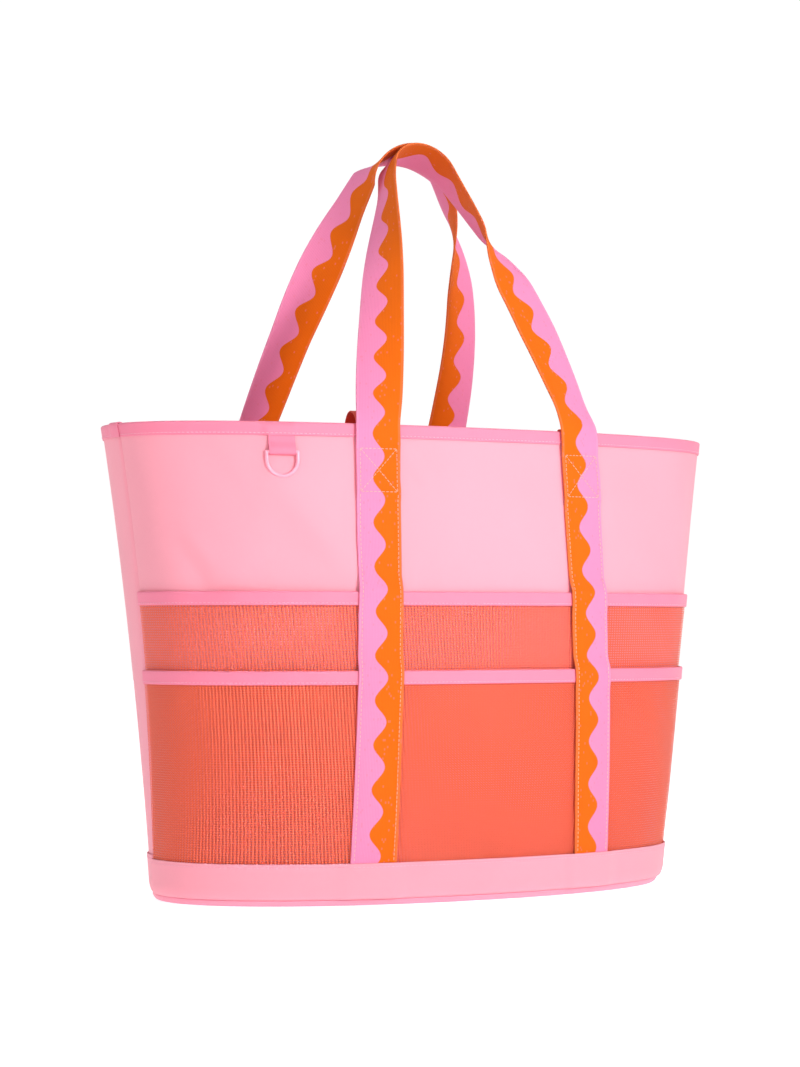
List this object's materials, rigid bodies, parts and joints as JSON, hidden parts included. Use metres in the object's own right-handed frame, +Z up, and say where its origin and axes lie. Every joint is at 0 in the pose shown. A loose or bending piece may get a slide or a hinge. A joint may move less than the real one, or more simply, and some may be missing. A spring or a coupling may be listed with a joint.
{
  "type": "beach bag",
  "caption": "Oval-based canvas beach tote with mesh front pockets, a clip ring at the rim and long webbing handles that swing down outside.",
  "frame": {"origin": "on the floor, under the middle of the whole bag's box", "axes": "+Z up towards the handles, -Y out of the pocket side (front), +X to the right seen from the front"},
  "size_m": [0.5782, 0.2588, 0.6514],
  "materials": {
    "canvas": "coated plain weave",
    "base_canvas": "coated plain weave",
    "binding": "folded binding tape",
    "mesh": "open coated mesh",
    "wave_webbing": "woven webbing, pink and orange halves with a wavy line between",
    "coral_webbing": "plain woven webbing",
    "board": "matte sheet",
    "ring": "satin enamel"
  },
  "bodies": {
    "bag": {"front_panel": "canvas", "back_panel": "canvas", "side_seam_tape_left": "binding", "side_seam_tape_right": "binding", "bottom_panel": "base_canvas", "base_board": "board", "base_band_front": "base_canvas", "base_band_back": "base_canvas", "base_binding": "binding", "rim_binding": "binding", "tall_pocket_mesh": "mesh", "tall_pocket_binding": "binding", "short_pocket_mesh": "mesh", "short_pocket_binding": "binding", "front_strap_left": "wave_webbing", "front_strap_right": "wave_webbing", "back_strap_left": "wave_webbing", "back_strap_right": "wave_webbing", "backing_front_left": "coral_webbing", "backing_front_right": "coral_webbing", "backing_back_left": "coral_webbing", "backing_back_right": "coral_webbing", "dring_tab": "binding"},
    "front_handle_body": {"front_handle": "wave_webbing"},
    "back_handle_body": {"back_handle": "wave_webbing"},
    "dring_body": {"dring": "ring"}
  },
  "joints": [
    {"name": "front_handle_fold", "type": "hinge", "parent": "bag", "child": "front_handle_body", "pos_m": [0, -0.11426, 0.399], "axis": [1, 0, 0], "range_deg": [0, 180]},
    {"name": "back_handle_fold", "type": "hinge", "parent": "bag", "child": "back_handle_body", "pos_m": [0, 0.11928, 0.399], "axis": [-1, 0, 0], "range_deg": [0, 180]},
    {"name": "dring_swing", "type": "hinge", "parent": "bag", "child": "dring_body", "pos_m": [-0.18181, -0.09807, 0.371], "axis": [-0.965, 0.2624, 0], "range_deg": [0, 150]}
  ]
}
